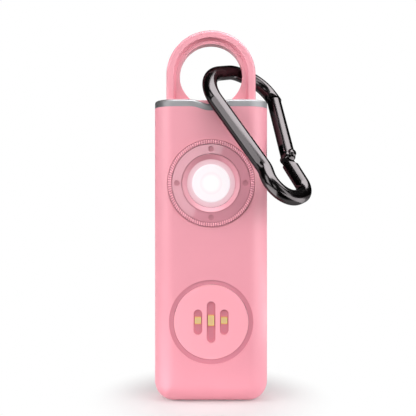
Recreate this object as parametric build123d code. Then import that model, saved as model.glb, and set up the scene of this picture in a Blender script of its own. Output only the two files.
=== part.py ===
from build123d import *
import os
from math import atan2, degrees, sqrt

# Personal safety alarm: a slim casing with a torch and a signal button on its front,
# a pull loop that sets off the siren when it is drawn out of the top, and a carabiner
# hung on that loop. Millimetres. The origin is the centre of the face it stands on,
# +Z is up, +X is to the right and the front looks along -Y.

os.makedirs("parts", exist_ok=True)

# Casing
body_width = 30.0
body_depth = 15.0
shell_top = 77.6
band_height = 1.9
edge_radius = 5.2
wall = 1.6
parting_behind_centre = 2.9
dip_half_width = 5.6
band_top_dip = 1.2
shell_top_dip = 1.1
band_edge_fillet = 0.6
overrun = 1.0
fit_gap = 0.05
slide_gap = 0.08

# Casing seal and screws
seal_width = 0.6
seal_height = 0.5
case_screw_from_side = 4.6
case_screw_low_z = 6.6
case_screw_below_top = 5.3
case_boss_radius = 1.8
case_screw_radius = 0.8
case_screw_head_radius = 1.5
case_screw_head_height = 0.8
case_screw_bite = 5.0
drive_slot_width = 0.4
drive_slot_depth = 0.35

# Pull loop, its blade and the socket that it plugs into
loop_centre_height = 7.4
loop_side_inset = 3.0
loop_width = 3.5
loop_crease_width = 2.6
loop_thickness = 5.0
loop_web_thickness = 3.0
loop_crease_taper = 32.0
loop_edge_fillet = 0.75
plate_gap = 0.1
plate_edge_fillet = 0.35
plate_thickness = 3.1
blade_width = 8.0
blade_thickness = 2.0
blade_root = 1.6
blade_reach = 9.95
blade_tip_chamfer = 0.4
deck_thickness = 1.6
sleeve_depth = 4.2
sleeve_side_wall = 1.4
sleeve_face_wall = 0.9
deck_ledge_width = 1.0
deck_ledge_height = 1.0
deck_ledge_depth = 5.0
detent_spring_thickness = 0.2
detent_spring_width = 1.4
detent_spring_length = 3.4

# Torch
torch_below_top = 20.0
rim_side_margin = 3.68
rim_width = 1.09
rim_stand_proud = 0.3
rim_seat_depth = 0.9
rim_line = 0.12
torch_seal_thickness = 0.2
torch_seal_width = 0.8
torch_sleeve_inset = 1.52
torch_sleeve_wall = 0.7
torch_sleeve_back = 2.9
torch_shelf_inset = 0.41
torch_shelf_front = 0.5
torch_shelf_thickness = 1.1
ring_width = 2.52
ring_line = 0.1
ring_stand_proud = 0.2
dimple_radius = 0.78
dimple_inset = 1.32
dimple_depth = 0.25
dimple_count = 4
dish_lip_width = 0.15
dish_width = 1.36
dish_fall = 0.6
dish_tail_depth = 2.2
lens_rim_width = 1.3
lens_thickness = 1.2
lens_core_rise = 0.25
reflector_wall = 0.5
reflector_throat_radius = 2.2
torch_board_inset = 0.3
torch_board_thickness = 0.8
torch_board_gap = 0.2
torch_chip_width = 2.5
torch_chip_height = 0.9
torch_pin_radius = 0.35
torch_pin_spacing = 6.0

# Signal button
button_height = 21.5
groove_ring_side_margin = 4.04
groove_ring_width = 1.17
groove_ring_recess = 0.3
groove_ring_thickness = 0.7
button_face_thickness = 0.9
button_skirt_wall = 1.1
button_travel = 0.4
button_edge_fillet = 0.12
window_width = 2.23
window_centre_length = 10.8
window_side_length = 6.57
window_spacing = 3.42
window_floor_depth = 0.6
window_disc_thickness = 0.25
light_centre_width = 1.58
light_centre_length = 2.94
light_side_width = 1.61
light_side_length = 1.95
light_rise = 0.39
light_thickness = 0.25
signal_board_thickness = 0.5
retainer_overlap = 0.5
retainer_thickness = 0.7
stem_radius = 1.5

# Boards and what stands on them
board_behind_centre = 0.2
board_thickness = 1.0
board_side_gap = 1.0
board_low_z = 9.0
board_below_top = 13.0
board_screw_side_inset = 0.8
board_screw_low_inset = 2.5
board_screw_high_inset = 14.6
board_post_radius = 1.4
board_screw_radius = 0.6
board_screw_head_radius = 1.0
board_screw_head_height = 0.6
board_screw_bite = 4.0
tact_width = 5.0
tact_height = 2.3
tact_plunger_radius = 1.1
tact_plunger_rise = 0.8
trip_switch_width = 4.0
trip_switch_depth = 2.2
trip_switch_height = 3.6
trip_plunger_radius = 0.45
trip_plunger_behind_front = 0.75
trip_plunger_sunk = 1.4
chip_width = 7.0
chip_height = 1.0
coil_radius = 2.5
coil_height = 3.0
coil_gap = 1.4
capacitor_radius = 1.6
capacitor_height = 3.2
capacitor_gap = 2.3
capacitor_spacing = 4.0

# Battery, behind the main board
cell_radius = 8.0
cell_above_base = 6.5
cell_spacing = 1.5
cell_rear_gap = 0.75
holder_wall = 0.55
holder_floor = 0.5
holder_rear_gap = 0.8
contact_radius = 4.0
contact_thickness = 0.25
strap_width = 5.0
strap_thickness = 0.3

# Siren, behind the main board
chamber_below_socket = 0.6
chamber_side_room = 3.9
chamber_wall = 1.0
chamber_floor = 0.6
chamber_rear_gap = 0.4
chamber_ledge_width = 0.8
chamber_ledge_height = 1.4
siren_plate_thickness = 0.3
siren_crystal_inset = 3.5
siren_crystal_thickness = 0.25
mesh_inset = 1.3
mesh_thickness = 0.2
sound_slot_width = 1.2
sound_slot_field_inset = 1.0
sound_slot_count = 5

# Carabiner. Its own plane has the spine on the y axis, the crown above and the gate
# at +x. The direction shares turn that plane against the casing.
rod_radius = 1.95
hang_from_side = 13.56
hang_below_top = 1.0
rest_clearance = 0.25
spine_direction_shares = (0.543, -0.241, -0.804)
gate_side_direction_shares = (1.0, 0.84, 0.0)
crown_height = 8.8
crown_spine_radius = 8.6
crown_shoulder_x = 14.6
crown_shoulder_radius = 7.8
nose_x = 23.1
nose_shoulder_y = 3.9
nose_radius = 8.2
nose_tip_y = -2.6
nose_spare = 2.0
kink_y = -21.9
kink_radius = 4.0
bulge_x = -1.5
bulge_y = -25.2
bulge_radius = 5.0
hook_left_x = -0.5
hook_left_y = -32.05
hook_left_radius = 5.7
hook_right_x = 9.1
hook_right_y = -31.65
hook_right_radius = 3.6
pivot_x = 11.75
pivot_y = -20.5
leg_inset = 1.3
leg_top_drop = 1.8
pocket_width = 1.3
pocket_depth = 0.9
pocket_length = 7.6
pocket_below_pivot = 1.3
pocket_turn = -80.0
groove_width = 1.5
groove_depth = 0.5
groove_low_y = -20.3
groove_high_y = 1.2
groove_turn = -66.0
gate_radius = 1.95
gate_gap = 0.25
tongue_thickness = 1.6
tongue_radius = 1.6
tongue_root_high = 0.6
tongue_root_low = 4.9
fork_gap = 0.12
fork_depth = 3.2
pivot_room = 1.5
rivet_radius = 0.6
rivet_gap = 0.04
rivet_head_radius = 1.15
rivet_head_seat = 1.5
rivet_head_height = 1.0
rivet_head_fillet = 0.75
nose_tab_length = 1.2
nose_tab_width = 2.2
nose_tab_thickness = 1.0
nose_tab_gap = 0.15
claw_reach = 0.8
claw_rise = 1.0
facet_depth = 0.55
facet_height = 1.9
facet_turn = -50.0
gate_tip_fillet = 0.5
gate_bore_radius = 0.9
gate_bore_depth = 8.5
gate_plunger_gap = 0.05
gate_plunger_length = 3.2
gate_spring_radius = 0.64
gate_spring_wire_radius = 0.14
gate_spring_turns = 6

# What follows from the sizes above: the casing
half_width = body_width / 2
half_depth = body_depth / 2
front = -half_depth
inner_front = front + wall
inner_back = half_depth - wall
parting = parting_behind_centre
band_top = shell_top + band_height
plate_bottom = band_top - plate_thickness
deck_bottom = plate_bottom - deck_thickness
case_screw_x = half_width - case_screw_from_side
case_screw_high_z = shell_top - case_screw_below_top

# The pull loop and the place where the carabiner hangs
loop_centre = band_top + loop_centre_height
loop_outer_radius = half_width - loop_side_inset
loop_hole_radius = loop_outer_radius - loop_width
loop_crease_radius = loop_outer_radius - loop_crease_width
blade_bottom = plate_bottom - blade_reach
hang_x = half_width - hang_from_side

# The torch, from its rim inwards
torch_height = shell_top - torch_below_top
rim_outer_radius = half_width - rim_side_margin
rim_inner_radius = rim_outer_radius - rim_width
torch_sleeve_radius = rim_outer_radius - torch_sleeve_inset
ring_inner_radius = rim_inner_radius - ring_width
dimple_circle_radius = rim_inner_radius - dimple_inset
torch_shelf_radius = ring_inner_radius - torch_shelf_inset
dish_inner_radius = ring_inner_radius - dish_width
lens_radius = dish_inner_radius - fit_gap
lens_core_radius = lens_radius - lens_rim_width
torch_board_radius = lens_radius - torch_board_inset

# The button
groove_ring_radius = half_width - groove_ring_side_margin
button_hole_radius = groove_ring_radius - groove_ring_width
retainer_radius = button_hole_radius + retainer_overlap

# The main board and what stands on its front
board_front = board_behind_centre
board_back = board_front + board_thickness
board_half_width = half_width - wall - board_side_gap
board_high_z = shell_top - board_below_top
board_screw_x = board_half_width - board_screw_side_inset
board_screw_low_z = board_low_z + board_screw_low_inset
board_screw_high_z = board_high_z - board_screw_high_inset
chip_z = (button_height + torch_height) / 2
coil_x = -chip_width / 2 - coil_gap - coil_radius
capacitor_x = chip_width / 2 + capacitor_gap + capacitor_radius

# The battery and the siren, in the room behind the main board
rear_room = inner_back - board_back
cell_low_z = cell_above_base + cell_radius
cell_high_z = cell_low_z + 2 * cell_radius + cell_spacing
cell_thickness = rear_room - holder_floor - contact_thickness - cell_rear_gap
holder_depth = rear_room - holder_rear_gap
chamber_radius = half_width - wall - chamber_side_room
siren_height = deck_bottom - sleeve_depth - chamber_below_socket - chamber_radius
chamber_depth = rear_room - chamber_rear_gap
siren_crystal_radius = chamber_radius - siren_crystal_inset
mesh_radius = chamber_radius - mesh_inset
sound_slot_field_radius = mesh_radius - sound_slot_field_inset
sound_slot_spacing = 2 * sound_slot_field_radius / (sound_slot_count + 1)


def disc(radius, near, far, x=0, z=0):
    """A cylinder along Y from y = near to y = far."""
    return Pos(x, (near + far) / 2, z) * Rot(90, 0, 0) * Cylinder(radius, far - near)


def tube(outer, inner, near, far, x=0, z=0):
    return disc(outer, near, far, x, z) - disc(inner, near - overrun, far + overrun, x, z)


def block(left, right, near, far, low, high):
    place = Pos((left + right) / 2, (near + far) / 2, (low + high) / 2)
    return place * Box(right - left, far - near, high - low)


def turned(points, z):
    """A profile of (radius, y) points turned about the Y direction at height z."""
    face = make_face(Polyline(*points, close=True))
    return Pos(0, 0, z) * revolve(face, axis=Axis.Y)


def upright(outline, low, high):
    """A sketch drawn in the plan of the casing, drawn up from low to high."""
    return Pos(0, 0, low) * extrude(outline, amount=high - low)


def plan(inset):
    """The casing seen from above, drawn in by an inset."""
    return RectangleRounded(
        body_width - 2 * inset, body_depth - 2 * inset, edge_radius - inset
    )


def casing_block(inset, top):
    """The casing's outer form, drawn in by an inset, with its base edge rounded."""
    low = inset
    form = upright(plan(inset), low, top)
    base_edges = form.edges().group_by(Axis.Z)[0]
    return fillet(base_edges, edge_radius - inset - fit_gap)


def above(level, dip):
    """Everything over a level that dips in a soft curve at the middle of the front."""
    mid = level - dip / 2
    left = (-dip_half_width, level)
    left_mid = (-dip_half_width / 2, mid)
    right_mid = (dip_half_width / 2, mid)
    right = (dip_half_width, level)
    edge_x = half_width + overrun
    roof = level + band_height + 2 * dip
    curves = [
        TangentArc([left, left_mid], tangent=(1, 0)),
        ThreePointArc(left_mid, (0, level - dip), right_mid),
        TangentArc([right, right_mid], tangent=(-1, 0)),
        Polyline(right, (edge_x, level), (edge_x, roof), (-edge_x, roof), (-edge_x, level), left),
    ]
    face = make_face(curves)
    slab = extrude(Plane.XZ * face, amount=half_depth + overrun, both=True)
    return slab


def both_sides(shape):
    return [shape, mirror(shape, about=Plane.YZ)]


def case_screw_places():
    return [
        (side * case_screw_x, z)
        for side in (-1, 1)
        for z in (case_screw_low_z, case_screw_high_z)
    ]


def board_screw_places():
    return [
        (side * board_screw_x, z)
        for side in (-1, 1)
        for z in (board_screw_low_z, board_screw_high_z)
    ]


def hollow_casing():
    outer = casing_block(0, shell_top + overrun)
    cavity = casing_block(wall, shell_top + 2 * overrun)
    return outer - cavity - above(shell_top, shell_top_dip)


def seal_strip(height):
    """The casing seal: a strip in the middle of the wall, from ledge to ledge."""
    def outline(inset):
        width = body_width - 2 * inset
        tall = 2 * shell_top
        place = Pos(0, inset + tall / 2)
        return place * RectangleRounded(width, tall, edge_radius - inset)

    face = outline((wall - seal_width) / 2) - outline((wall + seal_width) / 2)
    strip = Pos(0, parting + height / 2, 0) * extrude(Plane.XZ * face, amount=height)
    reach = body_width
    return strip & block(-reach, reach, -reach, reach, -overrun, deck_bottom)


def window_outlines(gap):
    """The three upright windows of the button, each drawn in by a gap."""
    sizes = [
        (-window_spacing, window_side_length),
        (0, window_centre_length),
        (window_spacing, window_side_length),
    ]
    return [
        Pos(x, button_height) * Rot(0, 0, 90) * SlotOverall(length - 2 * gap, window_width - 2 * gap)
        for x, length in sizes
    ]


def from_front(outline, near, far):
    """A sketch drawn in the front's plane (x, z), drawn from y = near to y = far."""
    return Pos(0, far, 0) * extrude(Plane.XZ * outline, amount=far - near)


# Casing pieces


def make_front_shell():
    keep = block(-body_width, body_width, -body_depth, parting, -overrun, shell_top + overrun)
    shell = hollow_casing() & keep
    for x, z in case_screw_places():
        shell += disc(case_boss_radius, inner_front, parting, x, z)
    for x, z in board_screw_places():
        shell += disc(board_post_radius, inner_front, board_front, x, z)
    ledge = block(
        half_width - wall - deck_ledge_width,
        half_width - wall / 2,
        -deck_ledge_depth / 2,
        deck_ledge_depth / 2,
        deck_bottom - deck_ledge_height,
        deck_bottom,
    )
    for piece in both_sides(ledge):
        shell += piece
    shell -= disc(rim_outer_radius + rim_line, front - overrun, front + rim_seat_depth, 0, torch_height)
    shell -= disc(torch_sleeve_radius, front, inner_front + overrun, 0, torch_height)
    ring_floor = front + groove_ring_recess + groove_ring_thickness
    shell -= disc(groove_ring_radius, front - overrun, ring_floor, 0, button_height)
    shell -= disc(button_hole_radius, front, inner_front + overrun, 0, button_height)
    for x, z in case_screw_places():
        shell -= disc(case_screw_radius, parting - case_screw_bite, parting + overrun, x, z)
    for x, z in board_screw_places():
        shell -= disc(board_screw_radius, board_front - board_screw_bite, board_front + overrun, x, z)
    return shell - seal_strip(seal_height)


def make_rear_cover():
    keep = block(
        -body_width, body_width, parting + fit_gap, body_depth, -overrun, shell_top + overrun
    )
    cover = hollow_casing() & keep
    head_floor = half_depth - wall
    for x, z in case_screw_places():
        cover += disc(case_boss_radius, parting + fit_gap, head_floor, x, z)
    for x, z in case_screw_places():
        cover -= disc(case_screw_radius + fit_gap, parting, half_depth, x, z)
        cover -= disc(case_screw_head_radius + fit_gap, head_floor, half_depth + overrun, x, z)
    first = -(sound_slot_count - 1) / 2
    for index in range(sound_slot_count):
        rise = (first + index) * sound_slot_spacing
        length = 2 * sqrt(sound_slot_field_radius**2 - rise**2)
        slot = Pos(0, siren_height + rise) * SlotOverall(length, sound_slot_width)
        cover -= from_front(slot, inner_back - overrun, half_depth + overrun)
    return cover - seal_strip(seal_height)


def make_case_screws():
    floor = half_depth - wall
    screws = []
    for x, z in case_screw_places():
        head = disc(case_screw_head_radius, floor, floor + case_screw_head_height, x, z)
        shank = disc(case_screw_radius, parting - case_screw_bite, floor, x, z)
        top = floor + case_screw_head_height
        half_slot = drive_slot_width / 2
        arms = [
            block(x - a, x + a, top - drive_slot_depth, top + overrun, z - b, z + b)
            for a, b in ((case_screw_head_radius / 2, half_slot), (half_slot, case_screw_head_radius / 2))
        ]
        screws.append(head + shank - arms[0] - arms[1])
    return Compound(screws)


def rim_distance(point):
    """How far a point of the plan lies outside the casing's inner rectangle."""
    x = max(abs(point.X) - (half_width - edge_radius), 0)
    y = max(abs(point.Y) - (half_depth - edge_radius), 0)
    return sqrt(x**2 + y**2)


def make_top_band():
    ring = upright(plan(0) - plan(wall), shell_top - 2 * shell_top_dip, band_top + overrun)
    band = (ring & above(shell_top, shell_top_dip)) - above(band_top, band_top_dip)
    outside = edge_radius - wall / 2
    top = [
        edge
        for edge in band.edges()
        if edge.center().Z > band_top - band_top_dip - fit_gap
        and abs(edge.tangent_at(0.5).Z) < 0.9
        and rim_distance(edge.center()) > outside
    ]
    return fillet(top, band_edge_fillet)


# Pull loop and its socket


def arch(radius, low):
    """A half-round arch with straight legs down to a level, drawn in (x, z)."""
    legs = Polyline((-radius, loop_centre), (-radius, low), (radius, low), (radius, loop_centre))
    crown = ThreePointArc((-radius, loop_centre), (0, loop_centre + radius), (radius, loop_centre))
    return make_face([legs, crown])


def make_pull_loop():
    plate_inset = wall + plate_gap
    plate = upright(plan(plate_inset), plate_bottom, band_top)
    plate = fillet(plate.edges().group_by(Axis.Z)[-1], plate_edge_fillet)
    half = loop_thickness / 2
    hoop = from_front(arch(loop_outer_radius, plate_bottom + overrun), -half, half)
    rim = [
        edge
        for edge in hoop.edges()
        if abs(abs(edge.center().Y) - half) < fit_gap and edge.center().Z > plate_bottom + 2 * overrun
    ]
    hoop = fillet(rim, loop_edge_fillet)
    recess_depth = (loop_thickness - loop_web_thickness) / 2
    web_face = loop_web_thickness / 2
    inner_arch = arch(loop_crease_radius, band_top - overrun)
    recess = extrude(inner_arch, amount=recess_depth + overrun / 2, taper=-loop_crease_taper)
    front_recess = Pos(0, -web_face, 0) * (Plane.XZ * recess)
    hoop -= front_recess
    hoop -= mirror(front_recess, about=Plane.XZ)
    loop = plate + hoop
    hole = disc(loop_hole_radius, -half_depth, half_depth, 0, loop_centre)
    above_plate = block(-body_width, body_width, -body_depth, body_depth, band_top, 2 * band_top)
    loop -= hole & above_plate
    return loop - blade_block(plate_bottom - overrun, plate_bottom + blade_root)


def blade_block(low, high):
    return block(
        -blade_width / 2, blade_width / 2, -blade_thickness / 2, blade_thickness / 2, low, high
    )


def make_loop_blade():
    blade = blade_block(blade_bottom, plate_bottom + blade_root)
    return chamfer(blade.edges().group_by(Axis.Z)[0].filter_by(Axis.X), blade_tip_chamfer)


def detent_pockets(gap):
    """The room beside the blade where the two flat springs stand."""
    start = blade_width / 2 + fit_gap / 2 + gap
    pocket = block(
        start,
        start + detent_spring_thickness,
        -detent_spring_width / 2,
        detent_spring_width / 2,
        deck_bottom - detent_spring_length,
        deck_bottom,
    )
    return both_sides(pocket)


def make_loop_socket():
    deck = upright(plan(wall + fit_gap), deck_bottom, plate_bottom)
    half_x = blade_width / 2 + fit_gap + sleeve_side_wall
    half_y = blade_thickness / 2 + fit_gap + sleeve_face_wall
    sleeve = block(-half_x, half_x, -half_y, half_y, deck_bottom - sleeve_depth, deck_bottom)
    slot = block(
        -blade_width / 2 - fit_gap,
        blade_width / 2 + fit_gap,
        -blade_thickness / 2 - fit_gap,
        blade_thickness / 2 + fit_gap,
        deck_bottom - sleeve_depth - overrun,
        plate_bottom + overrun,
    )
    socket = deck + sleeve - slot
    for pocket in detent_pockets(fit_gap / 2):
        socket -= pocket
    return socket


def make_detent_springs():
    return Compound(detent_pockets(fit_gap / 2))


# Torch


def make_torch_bezel():
    near = front - rim_stand_proud
    seat = front + rim_seat_depth - torch_seal_thickness
    shelf_near = front + torch_shelf_front
    shelf_far = shelf_near + torch_shelf_thickness
    back = front + torch_sleeve_back
    sleeve_inner = torch_sleeve_radius - torch_sleeve_wall
    return turned(
        [
            (rim_inner_radius, near),
            (rim_outer_radius, near),
            (rim_outer_radius, seat),
            (torch_sleeve_radius, seat),
            (torch_sleeve_radius, back),
            (sleeve_inner, back),
            (sleeve_inner, shelf_far),
            (torch_shelf_radius, shelf_far),
            (torch_shelf_radius, shelf_near),
            (rim_inner_radius, shelf_near),
        ],
        torch_height,
    )


def make_torch_seal():
    seat = front + rim_seat_depth
    inner = rim_outer_radius - torch_seal_width
    return tube(rim_outer_radius, inner, seat - torch_seal_thickness, seat, 0, torch_height)


def make_torch_ring():
    near = front - ring_stand_proud
    ring = tube(
        rim_inner_radius - ring_line,
        ring_inner_radius,
        near,
        front + torch_shelf_front,
        0,
        torch_height,
    )
    dimple = disc(dimple_radius, near - overrun, near + dimple_depth, dimple_circle_radius, 0)
    for index in range(dimple_count):
        turn = index * 360 / dimple_count
        ring -= Pos(0, 0, torch_height) * Rot(0, turn, 0) * dimple
    return ring


def make_torch_dish():
    outer = ring_inner_radius - ring_line
    shelf_near = front + torch_shelf_front
    tail = front + dish_tail_depth
    tail_radius = torch_shelf_radius - fit_gap
    return turned(
        [
            (outer, front),
            (outer, shelf_near),
            (tail_radius, shelf_near),
            (tail_radius, tail),
            (dish_inner_radius, tail),
            (dish_inner_radius, front + dish_fall),
            (outer - dish_lip_width, front),
        ],
        torch_height,
    )


def make_torch_lens():
    near = front + dish_fall
    far = near + lens_thickness
    return turned(
        [
            (0, near - lens_core_rise),
            (lens_core_radius - lens_core_rise, near - lens_core_rise),
            (lens_core_radius, near),
            (lens_radius, near),
            (lens_radius, far),
            (0, far),
        ],
        torch_height,
    )


def torch_board_near():
    """The torch board stands just clear of the trip switch on the main board."""
    return board_front - trip_switch_depth - torch_board_gap - torch_board_thickness


def make_torch_reflector():
    near = front + dish_fall + lens_thickness
    far = torch_board_near()
    return turned(
        [
            (lens_radius, near),
            (lens_radius, near + reflector_wall),
            (reflector_throat_radius + reflector_wall, far),
            (reflector_throat_radius, far),
            (reflector_throat_radius, far - reflector_wall),
            (lens_radius - reflector_wall, near),
        ],
        torch_height,
    )


def make_torch_board():
    near = torch_board_near()
    board = disc(torch_board_radius, near, near + torch_board_thickness, 0, torch_height)
    for side in (-1, 1):
        x = side * torch_pin_spacing / 2
        board += disc(torch_pin_radius, near + torch_board_thickness / 2, board_front, x, torch_height)
    return board


def make_torch_light():
    near = torch_board_near()
    half = torch_chip_width / 2
    return block(
        -half, half, near - torch_chip_height, near, torch_height - half, torch_height + half
    )


# Signal button


def make_button_groove_ring():
    near = front + groove_ring_recess
    return tube(
        groove_ring_radius, button_hole_radius, near, near + groove_ring_thickness, 0, button_height
    )


def button_radius():
    return button_hole_radius - slide_gap


def make_signal_button():
    back = inner_front + fit_gap
    cap = disc(button_radius(), front, back, 0, button_height)
    cap = fillet(cap.edges().group_by(Axis.Y)[0], button_edge_fillet)
    room = button_radius() - button_skirt_wall
    cap -= disc(room, front + button_face_thickness, back + overrun, 0, button_height)
    for outline in window_outlines(0):
        cap -= from_front(outline, front - overrun, front + button_face_thickness + overrun)
    return cap


def inside_button_radius():
    return button_radius() - button_skirt_wall


def make_button_window():
    near = front + button_face_thickness
    insert = disc(inside_button_radius(), near, near + window_disc_thickness, 0, button_height)
    for outline in window_outlines(fit_gap / 2):
        insert += from_front(outline, front + window_floor_depth, near + window_disc_thickness)
    return insert


def make_signal_lights():
    floor = front + window_floor_depth
    z = button_height + light_rise
    sizes = [
        (-window_spacing, light_side_width, light_side_length),
        (0, light_centre_width, light_centre_length),
        (window_spacing, light_side_width, light_side_length),
    ]
    lights = [
        block(
            x - width / 2, x + width / 2, floor - light_thickness, floor, z - length / 2, z + length / 2
        )
        for x, width, length in sizes
    ]
    return Compound(lights)


def signal_board_near():
    return front + button_face_thickness + window_disc_thickness


def make_signal_board():
    near = signal_board_near()
    return disc(inside_button_radius(), near, near + signal_board_thickness, 0, button_height)


def tact_front():
    return board_front - tact_height


def make_button_retainer():
    near = inner_front + fit_gap
    far = near + retainer_thickness
    plate = disc(retainer_radius, near, far, 0, button_height)
    boss_near = signal_board_near() + signal_board_thickness
    plate += disc(inside_button_radius() - fit_gap, boss_near, far, 0, button_height)
    stem_far = tact_front() - tact_plunger_rise - fit_gap
    return plate + disc(stem_radius, near, stem_far, 0, button_height)


def make_tact_switch():
    half = tact_width / 2
    body = block(-half, half, tact_front(), board_front, button_height - half, button_height + half)
    hole_far = board_front - tact_height / 4
    return body - disc(tact_plunger_radius + fit_gap, tact_front() - overrun, hole_far, 0, button_height)


def make_tact_plunger():
    near = tact_front() - tact_plunger_rise
    far = board_front - tact_height / 4 - button_travel - fit_gap
    return disc(tact_plunger_radius, near, far, 0, button_height)


# Boards, battery and siren


def make_main_board():
    board = block(
        -board_half_width, board_half_width, board_front, board_back, board_low_z, board_high_z
    )
    for x, z in board_screw_places():
        board -= disc(board_screw_radius, board_front - overrun, board_back + overrun, x, z)
    return board


def make_board_screws():
    screws = []
    for x, z in board_screw_places():
        head = disc(board_screw_head_radius, board_back, board_back + board_screw_head_height, x, z)
        shank = disc(board_screw_radius, board_front - board_screw_bite, board_back, x, z)
        screws.append(head + shank)
    return Compound(screws)


def trip_plunger_y():
    return board_front - trip_plunger_behind_front


def make_trip_switch():
    half = trip_switch_width / 2
    low = board_high_z - trip_switch_height
    body = block(-half, half, board_front - trip_switch_depth, board_front, low, board_high_z)
    bore = Pos(0, trip_plunger_y(), board_high_z) * Cylinder(
        trip_plunger_radius + fit_gap, 2 * (trip_plunger_sunk + fit_gap)
    )
    return body - bore


def make_trip_plunger():
    low = board_high_z - trip_plunger_sunk
    high = blade_bottom - fit_gap
    return Pos(0, trip_plunger_y(), (low + high) / 2) * Cylinder(trip_plunger_radius, high - low)


def make_control_chip():
    half = chip_width / 2
    return block(-half, half, board_front - chip_height, board_front, chip_z - half, chip_z + half)


def make_boost_coil():
    return disc(coil_radius, board_front - coil_height, board_front, coil_x, chip_z)


def make_capacitors():
    places = [chip_z - capacitor_spacing / 2, chip_z + capacitor_spacing / 2]
    near = board_front - capacitor_height
    return Compound([disc(capacitor_radius, near, board_front, capacitor_x, z) for z in places])


def make_battery_holder():
    outer = cell_radius + fit_gap + holder_wall
    middle = (cell_low_z + cell_high_z) / 2
    reach = cell_high_z - cell_low_z
    tray = Pos(0, middle) * Rot(0, 0, 90) * SlotOverall(reach + 2 * outer, 2 * outer)
    holder = from_front(tray, board_back, board_back + holder_depth)
    floor = board_back + holder_floor
    for z in (cell_low_z, cell_high_z):
        holder -= disc(cell_radius + fit_gap, floor, board_back + holder_depth + overrun, 0, z)
    return holder


def cell_front():
    return board_back + holder_floor + contact_thickness


def make_coin_cells():
    near = cell_front()
    bevel = contact_thickness
    cells = []
    for z in (cell_low_z, cell_high_z):
        cell = disc(cell_radius, near, near + cell_thickness, 0, z)
        cells.append(fillet(cell.edges(), bevel))
    return Compound(cells)


def make_battery_contacts():
    near = board_back + holder_floor
    far = near + contact_thickness
    return Compound([disc(contact_radius, near, far, 0, z) for z in (cell_low_z, cell_high_z)])


def make_battery_strap():
    near = cell_front() + cell_thickness
    half = strap_width / 2
    return block(-half, half, near, near + strap_thickness, cell_low_z, cell_high_z)


def make_siren_chamber():
    near = board_back
    far = board_back + chamber_depth
    inner = chamber_radius - chamber_wall
    ledge_top = near + chamber_floor + chamber_ledge_height
    cup = disc(chamber_radius, near, far, 0, siren_height)
    cup -= disc(inner, ledge_top, far + overrun, 0, siren_height)
    return cup - disc(inner - chamber_ledge_width, near + chamber_floor, far, 0, siren_height)


def make_siren_disc():
    near = board_back + chamber_floor + chamber_ledge_height
    plate_far = near + siren_plate_thickness
    radius = chamber_radius - chamber_wall - fit_gap
    plate = disc(radius, near, plate_far, 0, siren_height)
    return plate + disc(
        siren_crystal_radius, plate_far, plate_far + siren_crystal_thickness, 0, siren_height
    )


def make_sound_mesh():
    return disc(mesh_radius, inner_back - mesh_thickness, inner_back, 0, siren_height)


# Carabiner


def carabiner_frame():
    """Where the carabiner's own plane lies in the frame of the casing."""
    spine = Vector(*spine_direction_shares)
    facing = spine.cross(Vector(*gate_side_direction_shares)).normalized()
    across = facing.cross(spine)
    origin = (hang_x, front - rod_radius - rest_clearance, band_top - hang_below_top)
    return Plane(origin=origin, x_dir=across, z_dir=facing)


def gate_angle():
    return degrees(atan2(nose_x - pivot_x, nose_tip_y - pivot_y))


def gate_length():
    return sqrt((nose_x - pivot_x) ** 2 + (nose_tip_y - pivot_y) ** 2)


def gate_place():
    return Pos(pivot_x, pivot_y, 0) * Rot(0, 0, -gate_angle())


def rod_along(radius, low, high):
    return Pos(0, (low + high) / 2, 0) * Rot(90, 0, 0) * Cylinder(radius, high - low)


def bent_rod():
    path = FilletPolyline(
        (nose_x, nose_tip_y - nose_spare),
        (nose_x, nose_shoulder_y),
        (crown_shoulder_x, crown_height),
        (0, crown_height),
        (0, kink_y),
        (bulge_x, bulge_y),
        (hook_left_x, hook_left_y),
        (hook_right_x, hook_right_y),
        (pivot_x - leg_inset, pivot_y),
        radius=[
            nose_radius,
            crown_shoulder_radius,
            crown_spine_radius,
            kink_radius,
            bulge_radius,
            hook_left_radius,
            hook_right_radius,
        ],
    )
    start = Plane(origin=path @ 0, z_dir=path % 0)
    return sweep(start * Circle(rod_radius), path=path)


def milled_slot(low, high, width, depth, turn):
    """The cutter for a slot milled along a rod, turned about it from its front."""
    slot = Rot(0, 0, 90) * SlotOverall(high - low, width)
    cutter = Pos(0, 0, rod_radius - depth) * extrude(slot, amount=depth + overrun)
    return Pos(0, (high + low) / 2, 0) * Rot(0, turn, 0) * cutter


def leg_place():
    """The top of the leg that carries the gate, with +Y up the leg."""
    lean = atan2(pivot_x - leg_inset - hook_right_x, pivot_y - hook_right_y)
    return Pos(pivot_x - leg_inset, pivot_y, 0) * Rot(0, 0, -degrees(lean))


def nose_facet():
    """The cutter for the slanted flat on the nose, above the tip of the gate."""
    slant = degrees(atan2(facet_depth, facet_height))
    reach = rod_radius + overrun
    length = facet_height + overrun + reach
    flat = Pos(0, length / 2 - reach, reach / 2) * Box(2 * reach, length, reach)
    turned_flat = Rot(0, facet_turn, 0) * Pos(0, 0, rod_radius - facet_depth) * Rot(slant, 0, 0) * flat
    return Pos(nose_x, nose_tip_y, 0) * turned_flat


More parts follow.
